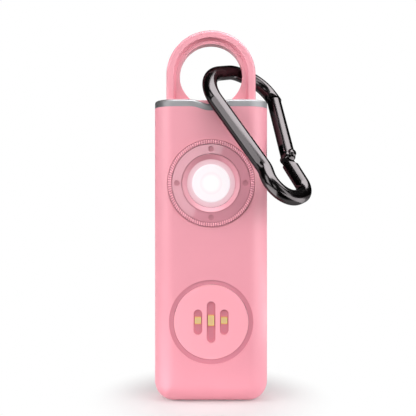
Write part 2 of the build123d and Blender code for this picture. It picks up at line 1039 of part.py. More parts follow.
def make_carabiner_body():
    rod = bent_rod()
    reach = rod_radius + overrun
    nose_cut = Pos(0, -nose_spare - overrun, 0) * Box(
        4 * reach, 2 * (nose_spare + overrun), 2 * reach
    )
    gate_end = Pos(0, gate_length(), 0)
    rod -= gate_place() * gate_end * nose_cut
    rod -= nose_facet()
    tab_low = -nose_tab_length
    tab = Pos(0, tab_low / 2 + gate_gap / 2, 0) * Box(
        nose_tab_width, nose_tab_length + gate_gap, nose_tab_thickness
    )
    claw_width = gate_radius + claw_reach
    claw_length = nose_tab_length + claw_rise
    claw = Pos(-claw_width / 2, claw_length / 2 - nose_tab_length, 0) * Box(
        claw_width, claw_length, nose_tab_thickness
    )
    rod += gate_place() * gate_end * tab
    rod += gate_place() * gate_end * claw
    rod -= milled_slot(groove_low_y, groove_high_y, groove_width, groove_depth, groove_turn)
    pivot = Pos(pivot_x, pivot_y, 0)
    rod -= pivot * Cylinder(gate_radius + pivot_room, 2 * reach)
    rod -= pivot * Pos(-leg_inset, reach - leg_top_drop, 0) * Box(4 * reach, 2 * reach, 2 * reach)
    rod += pivot * Cylinder(tongue_radius, tongue_thickness)
    root_middle = -(tongue_root_high + tongue_root_low) / 2
    rod += leg_place() * Pos(0, root_middle, 0) * Box(
        2 * tongue_radius, tongue_root_low - tongue_root_high, tongue_thickness
    )
    pocket_low = -pocket_below_pivot - pocket_length
    rod -= leg_place() * milled_slot(
        pocket_low, -pocket_below_pivot, pocket_width, pocket_depth, pocket_turn
    )
    rod -= pivot * Cylinder(rivet_radius, 2 * reach)
    return carabiner_frame() * rod


def make_gate_rivet():
    pin = Cylinder(rivet_radius, 2 * rivet_head_seat)
    head = Cylinder(rivet_head_radius, rivet_head_height)
    head = fillet(head.edges().group_by(Axis.Z)[-1], rivet_head_fillet)
    top = Pos(0, 0, rivet_head_seat + rivet_head_height / 2) * head
    rivet = pin + top + mirror(top, about=Plane.XY)
    return carabiner_frame() * Pos(pivot_x, pivot_y, 0) * rivet


def make_carabiner_gate():
    length = gate_length() - gate_gap
    gate = rod_along(gate_radius, 0, length)
    gate = fillet(gate.edges().group_by(Axis.Y)[-1], gate_tip_fillet) + Sphere(gate_radius)
    reach = gate_radius + overrun
    slot_half = tongue_thickness / 2 + fork_gap
    fork_low = -reach
    gate -= Pos(0, (fork_low + fork_depth) / 2, 0) * Box(
        2 * reach, fork_depth - fork_low, 2 * slot_half
    )
    gate -= Cylinder(rivet_radius + rivet_gap, 2 * reach)
    seat = Pos(0, 0, rivet_head_seat + reach / 2) * Cylinder(rivet_head_radius + fit_gap, reach)
    gate -= seat
    gate -= mirror(seat, about=Plane.XY)
    tip_depth = nose_tab_length + nose_tab_gap
    tip_top = gate_length() + overrun
    tip_low = gate_length() - tip_depth
    gate -= Pos(0, (tip_low + tip_top) / 2, 0) * Box(
        2 * reach, tip_top - tip_low, nose_tab_thickness + 2 * nose_tab_gap
    )
    gate -= rod_along(gate_bore_radius, fork_depth - fit_gap, fork_depth + gate_bore_depth)
    return carabiner_frame() * gate_place() * gate


def plunger_high():
    return tongue_radius + gate_plunger_gap + gate_plunger_length


def make_gate_plunger():
    low = tongue_radius + gate_plunger_gap
    plunger = rod_along(gate_bore_radius - fit_gap, low, plunger_high())
    return carabiner_frame() * gate_place() * plunger


def make_gate_spring():
    wire = gate_spring_wire_radius
    low = plunger_high() + wire
    high = fork_depth + gate_bore_depth - wire
    room = high - low
    path = Helix(pitch=room / gate_spring_turns, height=room, radius=gate_spring_radius)
    start = Plane(origin=path @ 0, z_dir=path % 0)
    coil = sweep(start * Circle(wire), path=path)
    return carabiner_frame() * gate_place() * Pos(0, low, 0) * Rot(-90, 0, 0) * coil


makers = {
    "front_shell": make_front_shell,
    "rear_cover": make_rear_cover,
    "case_seal": lambda: seal_strip(seal_height),
    "case_screws": make_case_screws,
    "top_band": make_top_band,
    "pull_loop": make_pull_loop,
    "loop_blade": make_loop_blade,
    "loop_socket": make_loop_socket,
    "detent_springs": make_detent_springs,
    "torch_bezel": make_torch_bezel,
    "torch_seal": make_torch_seal,
    "torch_ring": make_torch_ring,
    "torch_dish": make_torch_dish,
    "torch_lens": make_torch_lens,
    "torch_reflector": make_torch_reflector,
    "torch_board": make_torch_board,
    "torch_light": make_torch_light,
    "button_groove_ring": make_button_groove_ring,
    "signal_button": make_signal_button,
    "button_window": make_button_window,
    "signal_lights": make_signal_lights,
    "signal_board": make_signal_board,
    "button_retainer": make_button_retainer,
    "tact_switch": make_tact_switch,
    "tact_plunger": make_tact_plunger,
    "main_board": make_main_board,
    "board_screws": make_board_screws,
    "trip_switch": make_trip_switch,
    "trip_plunger": make_trip_plunger,
    "control_chip": make_control_chip,
    "boost_coil": make_boost_coil,
    "capacitors": make_capacitors,
    "battery_holder": make_battery_holder,
    "coin_cells": make_coin_cells,
    "battery_contacts": make_battery_contacts,
    "battery_strap": make_battery_strap,
    "siren_chamber": make_siren_chamber,
    "siren_disc": make_siren_disc,
    "sound_mesh": make_sound_mesh,
    "carabiner_body": make_carabiner_body,
    "gate_rivet": make_gate_rivet,
    "carabiner_gate": make_carabiner_gate,
    "gate_plunger": make_gate_plunger,
    "gate_spring": make_gate_spring,
}

for name, make in makers.items():
    export_step(make(), f"parts/{name}.step")
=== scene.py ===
# %% [markdown]
# A personal safety alarm: a slim pink casing with a round torch and a round signal
# button on its front, a pull loop in its top and a black chrome carabiner hung on the
# loop. Its hard pieces come ready-made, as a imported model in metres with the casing's
# foot at the origin and its front towards -Y. This lesson dresses them: it gives each
# piece its finish, adds the small repeated forms, and sets up the studio.

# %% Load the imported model
import math

import bpy
from mathutils import Matrix, Vector


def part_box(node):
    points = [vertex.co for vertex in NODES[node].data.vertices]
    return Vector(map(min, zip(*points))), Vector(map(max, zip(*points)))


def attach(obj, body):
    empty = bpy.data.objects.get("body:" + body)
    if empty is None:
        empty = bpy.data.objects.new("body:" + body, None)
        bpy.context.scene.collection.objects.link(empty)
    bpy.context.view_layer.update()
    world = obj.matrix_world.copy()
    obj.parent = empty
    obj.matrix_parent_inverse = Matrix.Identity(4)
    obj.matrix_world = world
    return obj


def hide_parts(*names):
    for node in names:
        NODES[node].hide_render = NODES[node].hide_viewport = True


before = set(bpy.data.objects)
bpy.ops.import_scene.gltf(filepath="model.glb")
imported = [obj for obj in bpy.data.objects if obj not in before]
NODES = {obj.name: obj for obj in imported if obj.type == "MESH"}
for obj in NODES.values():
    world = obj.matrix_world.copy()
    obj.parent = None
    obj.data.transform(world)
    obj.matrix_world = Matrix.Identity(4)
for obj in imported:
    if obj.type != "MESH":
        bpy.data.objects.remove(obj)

MM = 0.001
SCENE = bpy.context.scene
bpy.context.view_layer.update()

# %% [markdown]
# The photograph looks straight at the front, level, from about 16 cm away. A real
# camera would be further off with a longer lens, but the picture's own perspective
# says how near it is: the casing's sides and the loop's inner edges show it. Blender
# measures a lens against a 36 mm wide sensor, so the focal length in pixels turns into
# millimetres through the picture's width. An unturned camera looks straight down, so
# a quarter turn makes it look level.

# %% The camera
PICTURE_WIDTH_PX = 416
FOCAL_LENGTH_PX = 616
SENSOR_WIDTH_MM = 36.0
CAMERA_PLACE = Vector((-0.805, -167.5, 51.16)) * MM
QUARTER_TURN = math.radians(90)
NEAREST_SEEN_MM = 5
FARTHEST_SEEN_M = 20.0


def make_camera():
    data = bpy.data.cameras.new("camera")
    data.sensor_width = SENSOR_WIDTH_MM
    data.lens = FOCAL_LENGTH_PX / PICTURE_WIDTH_PX * SENSOR_WIDTH_MM
    data.clip_start = NEAREST_SEEN_MM * MM
    data.clip_end = FARTHEST_SEEN_M
    camera = bpy.data.objects.new("camera", data)
    camera.location = CAMERA_PLACE
    camera.rotation_euler = (QUARTER_TURN, 0, 0)
    SCENE.collection.objects.link(camera)
    SCENE.camera = camera
    return data.lens


print("lens", round(make_camera(), 2), "mm")

# %% [markdown]
# Shader graphs are easier to read as sums than as boxes and wires. This small class
# holds one socket of a node tree and lets Python's own signs add the Math nodes, so a
# mask can be written as `1 - mask * 0.5`. Every other node comes from its `node`
# method, which sets the node's settings first and then its sockets.


# %% Arithmetic on sockets
class Wire:
    """One output socket of a node tree."""

    def __init__(self, tree, socket=None):
        self.tree = tree
        self.socket = socket

    def node(self, kind, settings=None, sockets=None, output=0):
        made = self.tree.nodes.new(kind)
        for name, value in (settings or {}).items():
            if name == "stops":
                set_stops(made.color_ramp, value)
            else:
                setattr(made, name, value)
        for name, value in (sockets or {}).items():
            target = made.inputs[name]
            if isinstance(value, Wire):
                self.tree.links.new(value.socket, target)
            else:
                target.default_value = value
        return Wire(self.tree, made.outputs[output] if made.outputs else None)

    def maths(self, operation, *others):
        sockets = dict(enumerate((self, *others)))
        return self.node("ShaderNodeMath", {"operation": operation}, sockets)

    def __add__(self, other):
        return self.maths("ADD", other)

    def __sub__(self, other):
        return self.maths("SUBTRACT", other)

    def __rsub__(self, other):
        return self.maths("MULTIPLY", -1.0) + other

    def __mul__(self, other):
        return self.maths("MULTIPLY", other)

    def __truediv__(self, other):
        return self.maths("DIVIDE", other)

    def __pow__(self, other):
        return self.maths("POWER", other)

    def __abs__(self):
        return self.maths("ABSOLUTE")

    __radd__ = __add__
    __rmul__ = __mul__


def set_stops(ramp, stops):
    """Gives a colour ramp its list of (place, colour)."""
    while len(ramp.elements) < len(stops):
        ramp.elements.new(0.5)  # anywhere will do: each gets its place just below
    for element, (place, colour) in zip(ramp.elements, stops):
        element.position = place
        element.color = colour


def apart(start, vector):
    """The three parts of a vector."""
    split = start.node("ShaderNodeSeparateXYZ", sockets={0: vector})
    return [Wire(start.tree, socket) for socket in split.socket.node.outputs]


def length(start, vector):
    settings, sockets = {"operation": "LENGTH"}, {0: vector}
    return start.node("ShaderNodeVectorMath", settings, sockets, output=1)


def step(start, value, low, high, first=0.0, last=1.0):
    """A soft step on a value: `first` below low, `last` above high."""
    settings = {"interpolation_type": "SMOOTHSTEP"}
    sockets = {0: value, 1: low, 2: high, 3: first, 4: last}
    return start.node("ShaderNodeMapRange", settings, sockets)


# %% [markdown]
# Colours are read off the object as screen values from 0 to 255. Blender works with
# light, which is not the same scale, so each value goes through the screen's standard
# curve: a straight line near black and a power above it.


# %% Colours
def as_light(share):
    """One channel's share of the screen's full scale, as a share of full light."""
    if share <= 0.04045:
        return share / 12.92
    return ((share + 0.055) / 1.055) ** 2.4


def paint(*screen):
    """A screen colour as the linear colour that a shader takes."""
    return (*[as_light(channel / 255) for channel in screen], 1.0)


def shaded(colour, factor):
    """The same linear colour, lighter or darker."""
    return (*[channel * factor for channel in colour[:3]], 1.0)


print("half-way up the screen's scale is", round(as_light(0.5), 3), "of full light")

# %% [markdown]
# Most finishes here are built alike. A pattern is a noise on Object coordinates, so
# that it stays on its piece when the piece moves, and it is measured in millimetres.
# It changes the colour or the roughness a little, or goes through a Bump node into
# the Normal, and one Principled shader takes it all.


# %% The common parts of a material
def empty_material(name):
    material = bpy.data.materials.new(name)
    material.use_nodes = True
    material.node_tree.nodes.clear()
    return material, Wire(material.node_tree)


def finish_material(start, shader):
    start.node("ShaderNodeOutputMaterial", sockets={"Surface": shader})


def finish_principled(start, sockets):
    shader = start.node("ShaderNodeBsdfPrincipled", sockets=sockets)
    finish_material(start, shader)


def object_place(start, centre=(0, 0, 0), scale=(1, 1, 1)):
    """Object coordinates in millimetres, counted from a centre in metres.

    A scale of 0 leaves that direction out.
    """
    place = start.node("ShaderNodeTexCoord", output="Object")
    factor = tuple(s / MM for s in scale)
    moved = tuple(-c * f for c, f in zip(centre, factor))
    sockets = {"Vector": place, "Location": moved, "Scale": factor}
    return start.node("ShaderNodeMapping", sockets=sockets)


NOISE_ROUGHNESS = 0.55


def noise(start, place, per_mm, detail=3.0):
    sockets = {
        "Vector": place,
        "Scale": per_mm,
        "Detail": detail,
        "Roughness": NOISE_ROUGHNESS,
    }
    return start.node("ShaderNodeTexNoise", sockets=sockets)


def mix_colours(start, factor, first, second):
    """A Mix node has a pair of sockets for each kind of value: 6 and 7 take colours."""
    sockets = {0: factor, 6: first, 7: second}
    return start.node("ShaderNodeMix", {"data_type": "RGBA"}, sockets, output=2)


def drifting(start, drift, colour, share):
    """A colour that a slow noise makes a little darker here and lighter there."""
    darker, lighter = shaded(colour, 1 - share), shaded(colour, 1 + share)
    return mix_colours(start, drift, darker, lighter)


def bump(start, height, distance_mm):
    sockets = {"Height": height, "Distance": distance_mm * MM, "Strength": 1.0}
    return start.node("ShaderNodeBump", sockets=sockets)


def dress(material, *names):
    """Puts one material on ready-made pieces, in place of what they came with."""
    for name in names:
        data = NODES[name].data
        data.materials.clear()
        data.materials.append(material)
    print(material.name, "on", ", ".join(names))


# %% [markdown]
# The casing, the loop and the button are moulded in pink plastic with a soft-touch
# coat. Such a coat has a fine, even grain, a broad soft highlight and hardly any
# colour change. A noise of about seven grains to the millimetre makes the grain as a
# bump, and a slow noise of about a centimetre drifts the colour and the gloss a
# little, as the coat's thickness does on the real thing.

# %% The soft-touch pink
PLASTIC_COLOUR_DRIFT = 0.02
SOFT_DRIFT_PER_MM, SOFT_GRAIN_PER_MM = 0.09, 7.0
SOFT_GRAIN_DEPTH_MM = 0.005
SOFT_GLOSS_DRIFT, SOFT_GLOSS_GRAIN = 0.06, 0.05


def soft_plastic(name, colour, roughness=0.4):
    material, start = empty_material(name)
    place = object_place(start)
    drift = noise(start, place, SOFT_DRIFT_PER_MM, detail=2.0)
    speck = noise(start, place, SOFT_GRAIN_PER_MM, detail=2.0)
    base = drifting(start, drift, colour, PLASTIC_COLOUR_DRIFT)
    slow = roughness + (drift - 0.5) * SOFT_GLOSS_DRIFT
    sockets = {
        "Base Color": base,
        "Roughness": slow + (speck - 0.5) * SOFT_GLOSS_GRAIN,
        "Normal": bump(start, speck, SOFT_GRAIN_DEPTH_MM),
    }
    finish_principled(start, sockets)
    return material


CASING_PINK = paint(238, 155, 170)
LOOP_PINK = paint(236, 154, 168)
BUTTON_PINK = paint(252, 168, 182)
GROOVE_PINK = paint(211, 128, 145)
dress(soft_plastic("casing_soft_touch", CASING_PINK), "front_shell", "rear_cover")
dress(soft_plastic("loop_soft_touch", LOOP_PINK), "pull_loop")
dress(soft_plastic("button_soft_touch", BUTTON_PINK), "signal_button")
groove = soft_plastic("groove_elastomer", GROOVE_PINK, roughness=0.6)
dress(groove, "button_groove_ring", "button_window")

# %% [markdown]
# The torch's rim, face ring and dish are the same pink in a harder, glossier plastic
# without the soft coat. The face ring is flat and polished, so it mirrors what stands
# behind the camera, and its four dimples get a little painted shade: their colour is
# darker and their coat thinner. Their place follows from folding the ring into one
# eighth: the larger of the two distances from the torch's middle runs along the
# dimple's own axis, whichever of the four it is.

# %% Hard, glossy plastic
HARD_DRIFT_PER_MM, HARD_RIPPLE_PER_MM = 0.12, 0.7
HARD_RIPPLE_DEPTH_MM = 0.0006
HARD_GLOSS_DRIFT = 0.05
COAT_ROUGHNESS = 0.03
SHADE_IN_PLASTIC = 0.8


def gloss_plastic(name, colour, roughness=0.3, coat=0.6, shade=None):
    """Hard moulded plastic; `shade` makes a mask that darkens it, given a start."""
    material, start = empty_material(name)
    place = object_place(start)
    drift = noise(start, place, HARD_DRIFT_PER_MM, detail=2.0)
    ripple = noise(start, place, HARD_RIPPLE_PER_MM, detail=1.0)
    base = drifting(start, drift, colour, PLASTIC_COLOUR_DRIFT)
    if shade:
        mask = shade(start)
        base = mix_colours(start, mask, base, shaded(colour, SHADE_IN_PLASTIC))
        coat = (1 - mask) * coat
    sockets = {
        "Base Color": base,
        "Roughness": roughness + (drift - 0.5) * HARD_GLOSS_DRIFT,
        "Coat Weight": coat,
        "Coat Roughness": COAT_ROUGHNESS,
        "Normal": bump(start, ripple, HARD_RIPPLE_DEPTH_MM),
    }
    finish_principled(start, sockets)
    return material


# %% The torch trim
BEZEL_LOW, BEZEL_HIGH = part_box("torch_bezel")
TORCH_CENTRE = (BEZEL_LOW + BEZEL_HIGH) / 2
RIM_PINK = paint(203, 124, 141)
RING_PINK = paint(216, 139, 155)
DISH_PINK = paint(226, 150, 165)
DIMPLE_CIRCLE_MM = 8.91
DIMPLE_RADIUS_MM = 0.78
DIMPLE_FLOOR_MM, DIMPLE_EDGE_MM = DIMPLE_RADIUS_MM * 0.8, DIMPLE_RADIUS_MM * 1.05
DIMPLE_SHADE = 0.95


# Painted shade: a mask, full on each dimple's floor, that darkens the ring's colour
# there.
def dimple_shade(start):
    x, _, z = apart(start, object_place(start, TORCH_CENTRE))
    along = abs(x).maths("MAXIMUM", abs(z)) - DIMPLE_CIRCLE_MM
    beside = abs(x).maths("MINIMUM", abs(z))
    away = (along * along + beside * beside) ** 0.5
    return step(start, away, DIMPLE_FLOOR_MM, DIMPLE_EDGE_MM, DIMPLE_SHADE, 0.0)


dress(gloss_plastic("torch_rim_plastic", RIM_PINK, coat=0.0), "torch_bezel")
ring = gloss_plastic("torch_ring_plastic", RING_PINK, coat=1.0, shade=dimple_shade)
dress(ring, "torch_ring")
dish = gloss_plastic("torch_dish_plastic", DISH_PINK, roughness=0.45, coat=0.0)
dress(dish, "torch_dish")

# %% [markdown]
# The lens is lit from behind. Its raised middle is almost white, a soft hot spot sits
# at its centre, and the frosted border shows the pink of the dish through it. Rings
# of light follow the distance from the lens's axis, so the emission colour is a ramp
# on that distance. The studio already lights the frosted plastic, so the lamp behind
# it only adds what is missing to the colour that each ring has.

# %% The lit lens
LENS_LOW, LENS_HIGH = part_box("torch_lens")
LENS_CENTRE = (LENS_LOW + LENS_HIGH) / 2
LENS_RADIUS_MM = (LENS_HIGH.x - LENS_LOW.x) / 2 / MM
LENS_BASE = paint(150, 132, 138)
LENS_ROUGHNESS, FROST_ROUGHNESS, FROST_PER_MM = 0.35, 0.2, 9.0
HOT_SPOT_MM, RAISED_MIDDLE_MM = 2.78, 5.0
HOT_SPOT = HOT_SPOT_MM / LENS_RADIUS_MM
RAISED_MIDDLE = RAISED_MIDDLE_MM / LENS_RADIUS_MM
LENS_RINGS = [
    # share of the lens's radius, screen colour there
    (0.0, (255, 255, 255)),
    (HOT_SPOT * 0.55, (255, 255, 255)),
    (HOT_SPOT * 0.97, (255, 240, 245)),
    (HOT_SPOT * 1.1, (255, 246, 250)),
    (RAISED_MIDDLE - 0.02, (255, 244, 249)),
    (RAISED_MIDDLE + 0.01, (240, 203, 212)),
    (0.97, (236, 190, 200)),
    (1.0, (225, 172, 184)),
]


def glow_to(target):
    """The light that lifts the frosted plastic to a screen colour."""
    wanted = zip(paint(*target)[:3], LENS_BASE[:3])
    return (*[max(colour - own, 0.0) for colour, own in wanted], 1.0)


def lens_material():
    material, start = empty_material("lens_frosted")
    from_axis = object_place(start, LENS_CENTRE, scale=(1, 0, 1))
    away = length(start, from_axis) / LENS_RADIUS_MM
    stops = [(share, glow_to(target)) for share, target in LENS_RINGS]
    lamp_light = start.node("ShaderNodeValToRGB", {"stops": stops}, {0: away})
    frost = noise(start, object_place(start), FROST_PER_MM)
    sockets = {
        "Base Color": LENS_BASE,
        "Roughness": LENS_ROUGHNESS + frost * FROST_ROUGHNESS,
        "Emission Color": lamp_light,
        "Emission Strength": 1.0,
    }
    finish_principled(start, sockets)
    return material


dress(lens_material(), "torch_lens")
print("lens radius", round(LENS_RADIUS_MM, 2), "mm")

# %% [markdown]
# The band is plastic plated in satin silver, and the carabiner is zinc alloy plated
# in black chrome. Both are metals to the shader. A plated casting is never quite
# even, so a slow noise changes the colour and the roughness, and a fine one adds
# faint polishing marks.

# %% Plated metals
PLATE_DRIFT_PER_MM, PLATE_MARKS_PER_MM = 0.35, 12.0
PLATE_COLOUR_DRIFT = 0.07
PLATE_GLOSS_DRIFT = 0.6
SHADE_IN_METAL = 0.15


def plated(name, colour, roughness, marks_mm=0.0006, edge=1.0, shade=None):
    """Metal plate; `edge` says how bright it gets where it is seen at a low angle."""
    material, start = empty_material(name)
    place = object_place(start)
    drift = noise(start, place, PLATE_DRIFT_PER_MM)
    fine = noise(start, place, PLATE_MARKS_PER_MM, detail=2.0)
    base = drifting(start, drift, colour, PLATE_COLOUR_DRIFT)
    if shade:
        base = mix_colours(start, shade(start), base, shaded(colour, SHADE_IN_METAL))
    sockets = {
        "Base Color": base,
        "Metallic": 1.0,
        "Specular Tint": (edge, edge, edge, 1.0),
        "Roughness": roughness * (1 + (drift - 0.5) * PLATE_GLOSS_DRIFT),
        "Normal": bump(start, fine, marks_mm),
    }
    finish_principled(start, sockets)
    return material


SATIN_SILVER = paint(140, 140, 142)
CHROME_BLACK = paint(66, 63, 64)
dress(plated("band_satin_silver", SATIN_SILVER, roughness=0.55), "top_band")
chrome = plated("black_chrome", CHROME_BLACK, roughness=0.17, marks_mm=0.0001, edge=0.5)
dress(chrome, "carabiner_body", "carabiner_gate", "gate_rivet")

# %% [markdown]
# The rest of the metal is plain plated steel, brass and nickel, and most of it is
# inside. The case screws show from behind: the drive recess in each head points
# backwards and holds shade, so the colour darkens with the recess's depth.

# %% Screws, springs and contacts
SCREW_STEEL = paint(176, 178, 182)
DRIVE_RECESS_MM = 0.35
RECESS_DARK_MM, RECESS_LIGHT_MM = -DRIVE_RECESS_MM * 0.9, -DRIVE_RECESS_MM * 0.3
PLAIN_METALS = {
    # finish: screen colour, roughness, the pieces that have it
    "zinc_plated_steel": (
        (190, 192, 196),
        0.35,
        [
            "board_screws",
            "loop_blade",
            "detent_springs",
            "battery_strap",
            "gate_plunger",
            "gate_spring",
        ],
    ),
    "spring_brass": ((206, 178, 110), 0.3, ["battery_contacts", "siren_disc"]),
    "nickel_can": ((205, 205, 208), 0.25, ["coin_cells", "capacitors"]),
}


def recess_shade(start):
    _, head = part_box("case_screws")
    below = apart(start, object_place(start, head))[1]
    return step(start, below, RECESS_DARK_MM, RECESS_LIGHT_MM, 1.0, 0.0)


screw = plated("case_screw_steel", SCREW_STEEL, roughness=0.35, shade=recess_shade)
dress(screw, "case_screws")
for finish, (colour, roughness, pieces) in PLAIN_METALS.items():
    dress(plated(finish, paint(*colour), roughness), *pieces)

# %% [markdown]
# Inside are the usual parts of a small alarm: a green board, black moulded switches,
# trays and a siren chamber, and soft seals. They hardly show, but they are finished in
# the same way so that the alarm can be taken apart.

# %% What is inside
INSIDE = {
    # finish: how it is made, screen colour, roughness, the pieces that have it
    "board_solder_mask": (
        gloss_plastic,
        (28, 92, 58),
        0.35,
        ["main_board", "torch_board", "signal_board"],
    ),
    "moulded_black": (
        soft_plastic,
        (38, 38, 40),
        0.5,
        [
            "loop_socket",
            "button_retainer",
            "tact_switch",
            "tact_plunger",
            "trip_switch",
            "trip_plunger",
            "control_chip",
            "boost_coil",
            "battery_holder",
            "siren_chamber",
        ],
    ),
    "seal_rubber": (
        soft_plastic,
        (52, 50, 52),
        0.7,
        ["case_seal", "torch_seal", "sound_mesh"],
    ),
    "reflector_coat": (plated, (235, 235, 238), 0.08, ["torch_reflector"]),
    "white_light_chip": (gloss_plastic, (250, 250, 232), 0.3, ["torch_light"]),
}
for finish, (make, colour, roughness, pieces) in INSIDE.items():
    dress(make(finish, paint(*colour), roughness), *pieces)

# %% [markdown]
# Three small light chips show in the button's windows. Each is a pale block with a
# yellow border and a warmer middle. Along its top and bottom edges runs a thin orange
# line of painted reflection: the pink round the chip, painted in as colour. One pattern
# serves all three: the outer two are folded onto the middle one, and the distance from
# the chip's edge picks the colour. That distance is below zero inside the chip, and
# each soft step runs between two of its values.

# %% The light chips
CHIPS_LOW, CHIPS_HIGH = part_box("signal_lights")
CHIPS_CENTRE = (CHIPS_LOW + CHIPS_HIGH) / 2
CHIP_SPACING_MM = 3.42
CHIP_HALF_WIDTH_MM = 0.79
MIDDLE_HALF_MM, OUTER_HALF_MM = 1.47, 0.975  # half the chips' heights
BORDER_STEP_MM, REFLECTION_STEP_MM = (-0.42, -0.2), (-0.26, -0.12)
CHIP_WARM, CHIP_CLOUD = paint(228, 196, 140), paint(218, 190, 136)
CHIP_BORDER, CHIP_PAINTED_REFLECTION = paint(224, 214, 134), paint(240, 166, 104)
CLOUDS_PER_MM, CLOUD_SHARE = 1.6, 0.3
CHIP_ROUGHNESS, CLOUD_ROUGHNESS = 0.3, 0.2


def chip_material():
    material, start = empty_material("amber_light_chip")
    x, _, z = apart(start, object_place(start, CHIPS_CENTRE))
    outer = abs(x).maths("GREATER_THAN", CHIP_SPACING_MM / 2)
    across = abs(abs(x) - outer * CHIP_SPACING_MM) - CHIP_HALF_WIDTH_MM
    half_height = outer * (OUTER_HALF_MM - MIDDLE_HALF_MM) + MIDDLE_HALF_MM
    up = abs(z) - half_height
    border = step(start, across.maths("MAXIMUM", up), *BORDER_STEP_MM)
    # Painted reflection: a thin orange line along the chip's top and bottom edges, the
    # pink round it.
    painted_reflection = step(start, up, *REFLECTION_STEP_MM)
    cloud = noise(start, object_place(start), CLOUDS_PER_MM) * CLOUD_SHARE
    base = mix_colours(start, cloud, CHIP_WARM, CHIP_CLOUD)
    base = mix_colours(start, border, base, CHIP_BORDER)
    base = mix_colours(start, painted_reflection, base, CHIP_PAINTED_REFLECTION)
    roughness = CHIP_ROUGHNESS + cloud * CLOUD_ROUGHNESS
    finish_principled(start, {"Base Color": base, "Roughness": roughness})
    return material


dress(chip_material(), "signal_lights")

# %% [markdown]
# Geometry Nodes make what repeats. A tree gets named inputs for its sizes, so the
# same tree could serve another alarm. It runs on an empty mesh, its instances are made
# real and painted at the end, and what comes out is kept as a plain piece.


# %% Growing a mesh with Geometry Nodes
def group_inputs(tree, names):
    """Adds named inputs to a node group and returns a wire for each."""
    add = tree.interface.new_socket
    for name, (kind, value) in names.items():
        add(name=name, in_out="INPUT", socket_type=kind).default_value = value
    add(name="Geometry", in_out="OUTPUT", socket_type="NodeSocketGeometry")
    given = tree.nodes.new("NodeGroupInput")
    return [Wire(tree, given.outputs[name]) for name in names]


def put(start, geometry, place):
    """Moves every point of a geometry to the place that is worked out for it."""
    sockets = {"Geometry": geometry, "Position": place}
    return start.node("GeometryNodeSetPosition", sockets=sockets)


def end_tree(start, geometry, material):
    """Makes the instances real, paints them and closes the tree."""
    real = start.node("GeometryNodeRealizeInstances", sockets={"Geometry": geometry})
    sockets = {"Geometry": real, "Material": material}
    painted = start.node("GeometryNodeSetMaterial", sockets=sockets)
    start.node("NodeGroupOutput", sockets={"Geometry": painted})


def grow(name, tree, values, place):
    """Runs a tree on an empty mesh and returns the result as a plain piece."""
    holder = bpy.data.objects.new(name + "_maker", bpy.data.meshes.new(name + "_maker"))
    SCENE.collection.objects.link(holder)
    modifier = holder.modifiers.new("grow", "NODES")
    modifier.node_group = tree
    for item in tree.interface.items_tree:
        if item.in_out == "INPUT" and item.name in values:
            modifier[item.identifier] = values[item.name]
    bpy.context.view_layer.update()
    evaluated = holder.evaluated_get(bpy.context.evaluated_depsgraph_get())
    mesh = bpy.data.meshes.new_from_object(evaluated)
    bpy.data.objects.remove(holder)
    mesh.name = name
    mesh.transform(Matrix.Translation(place))
    mesh.polygons.foreach_set("use_smooth", [True] * len(mesh.polygons))
    piece = bpy.data.objects.new(name, mesh)
    SCENE.collection.objects.link(piece)
    return piece


# %% [markdown]
# The torch's rim is finely ribbed all the way round, so that a thumb can feel it. The
# ribs could be cut one by one, or be a bump in the material, but then they would not
# be in the mesh. Here a tree places one small rounded rib a hundred and twelve times
# on a circle. Seen from the front, the ribs fan towards the upright, so each one is
# turned by its place on the circle plus a swing that follows twice that angle. A rib
# is a ball whose sides are pushed out into a soft block, by a power of its height.

# %% The tree of ribs
BALL_SEGMENTS, BALL_RINGS = 16, 8
RIB_BLOCKINESS = 0.55


def swollen(part, power):
    """One part of a ball's surface, pushed out towards a block."""
    return abs(part) ** power * part.maths("SIGN")


def rib_shape(start, size):
    """A block of a given size, at half scale because its ball is 2 across."""
    sockets = {"Segments": BALL_SEGMENTS, "Rings": BALL_RINGS, "Radius": 1}
    ball = start.node("GeometryNodeMeshUVSphere", sockets=sockets)
    surface = apart(start, start.node("GeometryNodeInputPosition"))
    parts = [swollen(part, RIB_BLOCKINESS) for part in surface]
    place = start.node("ShaderNodeCombineXYZ", sockets=dict(enumerate(parts)))
    block = put(start, ball, place)
    sockets = {0: size, "Scale": 0.5}
    half = start.node("ShaderNodeVectorMath", {"operation": "SCALE"}, sockets)
    sockets = {"Geometry": block, "Scale": half, "Rotation": (QUARTER_TURN, 0, 0)}
    return start.node("GeometryNodeTransform", sockets=sockets)


def rib_tree(material):
    tree = bpy.data.node_groups.new("rim_ribs", "GeometryNodeTree")
    start = Wire(tree)
    names = {
        "Count": ("NodeSocketInt", 100),
        "Circle Radius": ("NodeSocketFloat", 0.01),
        "Rib Size": ("NodeSocketVector", (0.001, 0.001, 0.001)),
        "Fan": ("NodeSocketFloat", 0.5),
    }
    count, radius, size, fan = group_inputs(tree, names)
    points = start.node("GeometryNodePoints", sockets={"Count": count})
    angle = start.node("GeometryNodeInputIndex") * (2 * math.pi) / count
    across = angle.maths("COSINE") * radius
    up = angle.maths("SINE") * radius
    place = start.node("ShaderNodeCombineXYZ", sockets={"X": across, "Z": up})
    points = put(start, points, place)
    swing = (angle * 2).maths("SINE") * fan
    turn = start.node("ShaderNodeCombineXYZ", sockets={"Y": 0 - angle - swing})
    sockets = {"Points": points, "Instance": rib_shape(start, size), "Rotation": turn}
    ribs = start.node("GeometryNodeInstanceOnPoints", sockets=sockets)
    end_tree(start, ribs, material)
    return tree


# %% Ribs on the torch rim
# Painted highlight: the ribs are moulded in the rim's pink, but are painted much lighter
# than the rim so that they show as lit against it.
LIT_RIB_PINK = paint(246, 171, 186)
RIM_OUTER_MM = (BEZEL_HIGH.x - BEZEL_LOW.x) / 2 / MM
RIM_WIDTH_MM = 1.09
RIB_COUNT = 112
RIB_SIZE_MM = Vector((0.94, 0.38, 0.28))
RIB_FAN_DEGREES = 27.0


